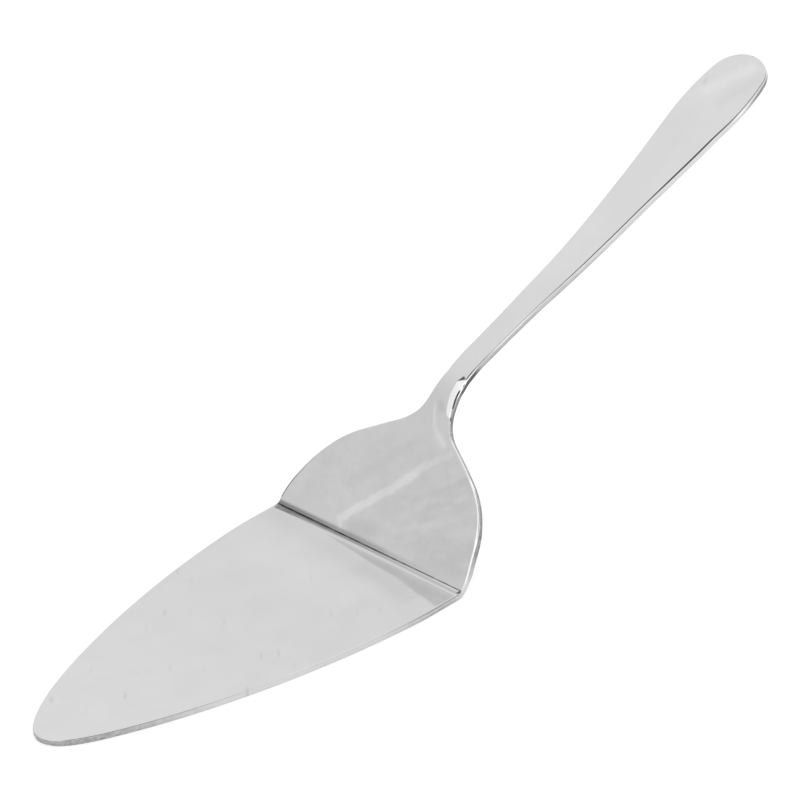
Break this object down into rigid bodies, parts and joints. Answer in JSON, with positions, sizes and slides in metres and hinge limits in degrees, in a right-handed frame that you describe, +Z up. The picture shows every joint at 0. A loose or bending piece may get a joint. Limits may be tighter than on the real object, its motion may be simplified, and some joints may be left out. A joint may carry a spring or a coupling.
{
  "type": "cake server",
  "caption": "Polished stainless steel cake server with a flat leaf-shaped blade, folded up into a rounded shoulder, and a slim bowed handle with a round end.",
  "frame": {"origin": "middle of the blade's flat underside, halfway between its tip and the fold", "axes": "+X from the blade's tip towards the handle's end, +Z up from the surface that the blade rests on, Y across the blade"},
  "size_m": [0.2425, 0.058, 0.0785],
  "materials": {
    "polished_steel": "polished"
  },
  "bodies": {
    "root": {"blade": "polished_steel", "handle": "polished_steel"}
  },
  "joints": []
}
